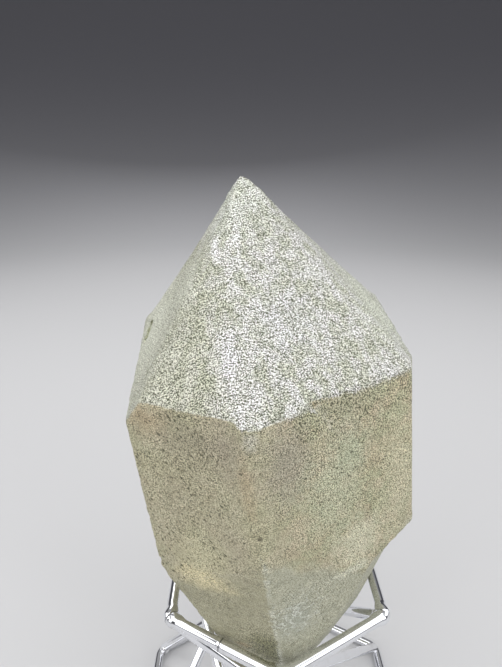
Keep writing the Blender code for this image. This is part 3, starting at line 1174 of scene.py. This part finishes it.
@dataclass(frozen=True)
class ChromeFinish:
    """Bright chrome plate over bent wire, with faint wipe marks.

    Attributes:
        name: The material's name.
        colour: The plate's colour.
        tarnish: The colour of its dull places.
        scorch: The colour in the weld lines, where the mesh says that they are.
        roughness: The plate's roughness.
        dull_roughness: The roughness of its dull places.
        waves: The height of the plate's faint waves, in millimetres.
    """

    name: str = "chrome_wire"
    colour: Colour = (0.86, 0.87, 0.90)
    tarnish: Colour = (0.55, 0.54, 0.52)
    scorch: Colour = (0.07, 0.065, 0.06)
    roughness: float = 0.07
    dull_roughness: float = 0.24
    waves: float = 0.01

    def build(self, marks: bpy.types.NodeTree) -> bpy.types.Material:
        """Makes the material.

        Args:
            marks: The group of the wipe marks.

        Returns:
            The material.
        """
        material, net, shader = new_material(self.name)
        place = net.local(net.point(), (MM, MM, MM))
        dull = net.group(marks, {"Vector": place})["Dull"]
        plate = net.blend(net.times(dull, 0.6), self.colour, self.tarnish)
        net.feed(shader["Base Color"], net.blend(net.carried(WELD_LINE), plate, self.scorch))
        net.feed(shader["Roughness"], net.fade(dull, 0.0, 1.0, self.roughness, self.dull_roughness))
        net.feed(shader["Normal"], net.bump(net.times(net.noise(place, 3.0, 3.0), self.waves)))
        shader["Metallic"].default_value = 1.0
        return material


@dataclass(frozen=True)
class Weld:
    """The place of one bead of weld metal at a leg's end, in millimetres.

    Attributes:
        up: How far up the leg from the corner it lies.
        inward: How far inwards of it.
        stretch: Its half sizes, the last one along the leg.
    """

    up: float
    inward: float
    stretch: Triple


def outward(place: Vector) -> Vector:
    """The level way from the stand's middle to a place."""
    return Vector((place.x, place.y, 0.0)).normalized()


@dataclass
class WireStand:
    """The stand: a bent ring, a bent base and six straight legs of one round wire, welded and plated.

    Attributes:
        wire: The wire's diameter.
        ring_bend: The radius that the ring's corners are bent to, along the wire's middle.
        base_bend: The same for the base.
        roundness: The resolution of the wire's round section.
        twist: How many corners round a leg's upper end is from its lower one.
        leg_short: How much shorter a leg is than the way between its corners.
        leg_taper: The bevel of a leg's ends.
        closed_side: The ring's corners at both ends of its front left side, where it is welded closed.
        mitred: The ring's two mitred corners.
        seam_at: How far along the closed side the closing weld is, from 0 to 1.
        seam_swells: Where that weld swells and pinches the wire, in millimetres.
        mitre_swells: The same for a mitred corner.
        corner_cuts: Where a corner is divided before it swells, in millimetres from its middle.
        corner_swell: How far a corner stands out where its leg is welded on, in millimetres.
        corner_reach: How far that swelling reaches along the wire, in millimetres.
        corner_full: How far along the wire it is at its fullest, in millimetres.
        upper_weld: The bead that joins a leg to the ring.
        lower_weld: The bead that joins it to the base.
        weld_lumps: The unevenness of the beads.
        plate: The wire's material.
        bead: The beads' material.
        sides: The names of the sides of the ring and the base, anticlockwise from the front.
        legs: The names of the legs, by the base's corner that they stand on.
    """

    wire: float = 3.0 * MM
    ring_bend: float = 2.4 * MM
    base_bend: float = 4.5 * MM
    roundness: int = 10
    twist: int = -2
    leg_short: float = 2.7 * MM
    leg_taper: float = 0.7 * MM
    closed_side: tuple[int, int] = (5, 0)
    mitred: tuple[int, int] = (5, 1)
    seam_at: float = 0.485
    seam_swells: tuple[tuple[float, float], ...] = (
        (-0.9, 0.0),
        (-0.55, 0.09),
        (-0.22, 0.12),
        (-0.13, 0.02),
        (0.0, -0.34),
        (0.13, 0.02),
        (0.22, 0.12),
        (0.55, 0.09),
        (0.9, 0.0),
    )
    mitre_swells: tuple[tuple[float, float], ...] = ((-0.13, 0.0), (0.0, -0.32), (0.13, 0.0))
    corner_cuts: tuple[float, ...] = (-3.4, -2.9, -2.4, -1.9, -1.5, 1.5, 1.9, 2.4, 2.9, 3.4)
    corner_swell: float = 0.48
    corner_reach: float = 3.4
    corner_full: float = 1.2
    upper_weld: Weld = Weld(-1.7, 0.4, (1.8, 1.8, 2.4))
    lower_weld: Weld = Weld(1.6, 0.7, (1.7, 1.7, 2.4))
    weld_lumps: Relief = Relief("weld lumps", 1.2, 1, 0.5, 0.5)
    plate: ChromeFinish = ChromeFinish()
    bead: ChromeFinish = ChromeFinish(
        name="chrome_weld", colour=(0.78, 0.78, 0.80), roughness=0.16, dull_roughness=0.38, waves=0.05
    )
    sides: tuple[str, ...] = ("front_right", "right", "back_right", "back_left", "left", "front_left")
    legs: tuple[str, ...] = ("front", "right_front", "right_back", "back", "left_back", "left_front")

    def measure(self, part: str) -> tuple[float, float]:
        """Reads a hexagon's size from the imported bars.

        Args:
            part: ring or base.

        Returns:
            The distance of its corners from the middle, and its height.
        """
        low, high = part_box(f"{part}_right")
        return (low.x + high.x) / 2 / math.cos(HALF_CORNER), (low.z + high.z) / 2

    def corner(self, part: str, index: int) -> Vector:
        """A corner of the ring or the base, counted anticlockwise from the front.

        Args:
            part: ring or base.
            index: The corner's number.

        Returns:
            Its place.
        """
        radius, height = self.measure(part)
        angle = math.radians(60.0 * index - 90.0)
        return Vector((radius * math.cos(angle), radius * math.sin(angle), height))

    def ends(self, index: int) -> tuple[Vector, Vector]:
        """The corners of the base and the ring that a leg joins."""
        return self.corner("base", index), self.corner("ring", index + self.twist)

    def bends(self) -> list[tuple[Vector, Vector]]:
        """The middle of the wire in each corner of the ring, and the wire's way there.

        Returns:
            Both, for each corner.
        """
        found = []
        inset = self.ring_bend * (1.0 / math.cos(HALF_CORNER) - 1.0)
        for index in range(len(self.sides)):
            corner = self.corner("ring", index)
            along = self.corner("ring", index + 1) - self.corner("ring", index - 1)
            found.append((corner - outward(corner) * inset, along.normalized()))
        return found

    def hexagon(self, part: str, bend: float) -> bpy.types.Object:
        """Bends one hexagon of wire.

        Args:
            part: ring or base.
            bend: The radius of its corners.

        Returns:
            The wire's mesh.
        """
        radius, height = self.measure(part)
        size = {"vertices": len(self.sides), "radius": radius, "location": (0.0, 0.0, height)}
        wire = added(bpy.ops.mesh.primitive_circle_add, f"{part}_wire", **size)
        with editing(wire):
            bpy.ops.mesh.bevel(offset=bend * math.tan(HALF_CORNER), segments=10, affect="VERTICES")
        bpy.ops.object.convert(target="CURVE")
        wire.data.bevel_depth = self.wire / 2
        wire.data.bevel_resolution = self.roundness
        bpy.ops.object.convert(target="MESH")
        settle(wire)
        bpy.ops.object.shade_smooth()
        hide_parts(*(f"{part}_{side}" for side in self.sides))
        return wire

    def cut(
        self, wire: bpy.types.Object, middle: Vector, along: Vector, swells: Iterable[tuple[float, float]]
    ) -> None:
        """Cuts rings into the wire and swells or pinches each.

        Args:
            wire: The wire's mesh.
            middle: The place on the wire's own middle.
            along: The wire's way there.
            swells: Each ring's distance from the place and how far it stands out, both in millimetres.
        """
        for offset, swell in swells:
            with editing(wire):
                bpy.ops.mesh.bisect(plane_co=middle + along * offset * MM, plane_no=along)
            for vertex in wire.data.vertices:
                away = vertex.co - middle
                on_cut = abs(away.dot(along) - offset * MM) < ON_CUT
                vertex.select = on_cut and away.length < 2 * self.wire
            with editing(wire, whole=False):
                bpy.ops.mesh.select_mode(type="VERT")
                bpy.ops.transform.shrink_fatten(value=swell * MM)

    def mark(self, wire: bpy.types.Object, middle: Vector, along: Vector) -> None:
        """Marks the ring of points at a place as a weld line.

        Args:
            wire: The wire's mesh.
            middle: The place on the wire's own middle.
            along: The wire's way there.
        """
        layer = number_layer(wire, WELD_LINE)
        away = coordinates(wire) - np.array(middle)
        near = np.linalg.norm(away, axis=1) < 2 * self.wire
        on_line = near & (np.abs(away @ np.array(along)) < SAME_PLACE)
        for index in np.flatnonzero(on_line):
            layer.data[int(index)].value = 1.0

    def thicken(self, ring: bpy.types.Object) -> None:
        """Swells the ring's corners, where the legs are welded on.

        Args:
            ring: The ring's mesh.
        """
        for place, along in self.bends():
            self.cut(ring, place, along, [(offset, 0.0) for offset in self.corner_cuts])
        points = coordinates(ring)
        thick = np.zeros(len(points))
        for place, along in self.bends():
            away = points - np.array(place)
            near = ramp(np.abs(away @ np.array(along)) / MM, self.corner_reach, self.corner_full)
            near[np.linalg.norm(away, axis=1) > 2 * self.wire] = 0.0
            thick = np.maximum(thick, near * near * (3.0 - 2.0 * near))
        weigh(ring, "corners", thick)
        strength = self.corner_swell * MM
        apply_modifier(ring, "DISPLACE", strength=strength, mid_level=0.0, vertex_group="corners")
        ring.vertex_groups.clear()

    def seam(self, ring: bpy.types.Object) -> None:
        """Pinches and marks the weld that closes the ring, and the mitres of two corners.

        Args:
            ring: The ring's mesh.
        """
        left, front = (self.corner("ring", index) for index in self.closed_side)
        bends = self.bends()
        closing = (left.lerp(front, self.seam_at), (front - left).normalized(), self.seam_swells)
        mitres = [(*bends[index], self.mitre_swells) for index in self.mitred]
        for place, along, swells in (closing, *mitres):
            self.cut(ring, place, along, swells)
            self.mark(ring, place, along)

    def straights(self) -> list[bpy.types.Object]:
        """The six straight legs, each tapered a little where it goes into its welds.

        Returns:
            The legs.
        """
        low, high = self.ends(0)
        size = {"vertices": 40, "radius": self.wire / 2, "depth": (high - low).length - self.leg_short}
        pattern = added(bpy.ops.mesh.primitive_cylinder_add, "leg pattern", **size)
        apply_modifier(pattern, "BEVEL", width=self.leg_taper, segments=4, limit_method="ANGLE")
        bpy.ops.object.shade_smooth()
        legs = []
        for index, name in enumerate(self.legs):
            low, high = self.ends(index)
            legs.append(twin(pattern, f"leg_wire_{name}", (low + high) / 2, high - low))
            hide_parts(f"leg_{name}")
        bpy.data.objects.remove(pattern)
        return legs

    def welds(self) -> bpy.types.Object:
        """All the beads of weld metal, in one piece.

        Returns:
            The piece.
        """
        size = {"segments": 24, "ring_count": 14, "radius": MM}
        pattern = added(bpy.ops.mesh.primitive_uv_sphere_add, "bead pattern", **size)
        bpy.ops.object.shade_smooth()
        beads = []
        for index in range(len(self.legs)):
            low, high = self.ends(index)
            along = (high - low).normalized()
            for corner, weld in ((high, self.upper_weld), (low, self.lower_weld)):
                place = corner + along * weld.up * MM - outward(corner) * weld.inward * MM
                beads.append(twin(pattern, "bead", place, along, weld.stretch))
                self.weld_lumps.press(beads[-1])
        bpy.data.objects.remove(pattern)
        return join(beads, "weld_beads")

    def build(self) -> list[bpy.types.Object]:
        """Makes the whole stand in place of its solids.

        Returns:
            The finished pieces.
        """
        ring, base = self.hexagon("ring", self.ring_bend), self.hexagon("base", self.base_bend)
        self.thicken(ring)
        self.seam(ring)
        wires, welds = [ring, base, *self.straights()], self.welds()
        marks = wipe_marks()
        plate, bead = self.plate.build(marks), self.bead.build(marks)
        for piece in wires:
            finish_with(piece, plate, Slot.WIRE)
        finish_with(welds, bead, Slot.WIRE)
        return [*wires, welds]


@dataclass
class PhotoCamera:
    """The camera, close in front of the stone and looking down on it.

    Attributes:
        place: Where it stands.
        pitch: How far it looks down, in degrees.
        heading: How far it is turned to the right of straight back, in degrees.
        lens: Its focal length in millimetres, for a 36 mm frame.
    """

    place: Triple = (-8.37 * MM, -117.51 * MM, 176.02 * MM)
    pitch: float = 20.0
    heading: float = 0.863
    lens: float = 28.07

    def build(self) -> list[bpy.types.Object]:
        """Makes the scene's camera.

        Returns:
            The camera, alone in its list.
        """
        turn = (math.radians(90.0 - self.pitch), 0.0, math.radians(-self.heading))
        camera = added(bpy.ops.object.camera_add, "Camera", location=self.place, rotation=turn)
        camera.data.lens = self.lens
        camera.data.clip_start = 5.0 * MM
        bpy.context.scene.camera = camera
        return [camera]


@dataclass(frozen=True)
class SoftLight:
    """One square soft light.

    Attributes:
        name: The light's name.
        place: Where it hangs.
        size: The length of its side.
        power: Its power in watts.
    """

    name: str
    place: Triple
    size: float
    power: float

    def hang(self, aim: Triple) -> bpy.types.Object:
        """Hangs the light, turned to one point.

        Args:
            aim: The point.

        Returns:
            The light.
        """
        turn = (Vector(aim) - Vector(self.place)).to_track_quat("-Z", "Y").to_euler()
        light = added(bpy.ops.object.light_add, self.name, type="AREA", location=self.place, rotation=turn)
        light.data.size = self.size
        light.data.energy = self.power
        return light


@dataclass
class Studio:
    """A plain pale floor that curves up into a low round wall, and soft light from above.

    Attributes:
        radius: The floor's radius.
        wall: The wall's height.
        cove: How far the floor's curve up to the wall reaches.
        pool: How far from the middle the floor's colour stays even.
        paint: The floor's colour.
        wall_paint: The wall's colour.
        sky: The colour of the light from straight above.
        horizon: The colour of the light from the sides.
        daylight: The strength of that light.
        aim: The point that the soft lights are turned to.
        lights: The soft lights.
    """

    radius: float = 1.6
    wall: float = 0.9
    cove: float = 0.8
    pool: float = 0.25
    paint: Colour = (0.54, 0.54, 0.55)
    wall_paint: Colour = (0.12, 0.12, 0.135)
    sky: Colour = (1.0, 1.0, 1.0)
    horizon: Colour = (0.26, 0.26, 0.29)
    daylight: float = 0.34
    aim: Triple = (0.0, 0.0, 0.1)
    lights: tuple[SoftLight, ...] = (
        SoftLight("overhead", (0.0, -0.20, 0.80), 1.20, 6.4),
        SoftLight("front_fill", (-0.05, -0.90, 0.50), 0.60, 1.6),
        SoftLight("front_left_fill", (-0.80, -0.62, 0.55), 0.70, 3.0),
        SoftLight("front_right_fill", (0.80, -0.62, 0.55), 0.70, 2.8),
        SoftLight("left_fill", (-0.95, 0.15, 0.50), 0.60, 2.6),
        SoftLight("right_fill", (0.95, 0.20, 0.50), 0.60, 2.4),
        SoftLight("back_fill", (-0.10, 1.00, 0.60), 0.60, 3.0),
    )

    def floor(self) -> bpy.types.Object:
        """Makes the floor and its wall in one sweep.

        Returns:
            The floor.
        """
        size = {"vertices": 96, "radius": self.radius, "fill_type": "NGON"}
        floor = added(bpy.ops.mesh.primitive_circle_add, "studio_floor", **size)
        with editing(floor):
            bpy.ops.mesh.extrude_region_move(TRANSFORM_OT_translate={"value": (0.0, 0.0, self.wall)})
            bpy.ops.mesh.delete(type="ONLY_FACE")
        apply_modifier(floor, "BEVEL", width=self.cove, segments=24, limit_method="ANGLE")
        with editing(floor):
            bpy.ops.mesh.normals_make_consistent(inside=True)
        bpy.ops.object.shade_smooth()
        material, net, shader = new_material("studio_paper")
        far = net.add("VectorMath", {0: net.point()}, operation="LENGTH").outputs["Value"]
        paint = net.blend(net.fade(far, self.pool, self.radius), self.paint, self.wall_paint)
        net.feed(shader["Base Color"], paint)
        shader["Roughness"].default_value = 0.9
        floor.data.materials.append(material)
        return floor

    def light_sky(self) -> None:
        """Lights the whole scene softly, most from above."""
        world = bpy.data.worlds.new("studio sky")
        bpy.context.scene.world = world
        world.use_nodes = True
        net = NodeNet(world.node_tree)
        height = net.add("SeparateXYZ", {"Vector": net.add("TexCoord").outputs["Generated"]}).outputs["Z"]
        background = world.node_tree.nodes["Background"].inputs
        net.feed(background["Color"], net.blend(net.fade(height, 0.0, 0.8), self.horizon, self.sky))
        background["Strength"].default_value = self.daylight

    def build(self) -> list[bpy.types.Object]:
        """Sets up the floor, the lights and the sky.

        Returns:
            The floor and the lights.
        """
        pieces = [self.floor(), *(light.hang(self.aim) for light in self.lights)]
        self.light_sky()
        bpy.context.scene.view_settings.view_transform = "Standard"
        return pieces


def main() -> None:
    """Builds the camera, the studio, the stone and its stand, and reports each piece."""
    logging.basicConfig(level=logging.INFO, format="%(name)s: %(message)s")
    for assembly in (PhotoCamera(), Studio(), QuartzCrystal(), WireStand()):
        for piece in assembly.build():
            made = f"{len(piece.data.polygons)} faces" if piece.type == "MESH" else piece.type.lower()
            LOG.info("%s: %s", piece.name, made)


if __name__ == "__main__":
    main()
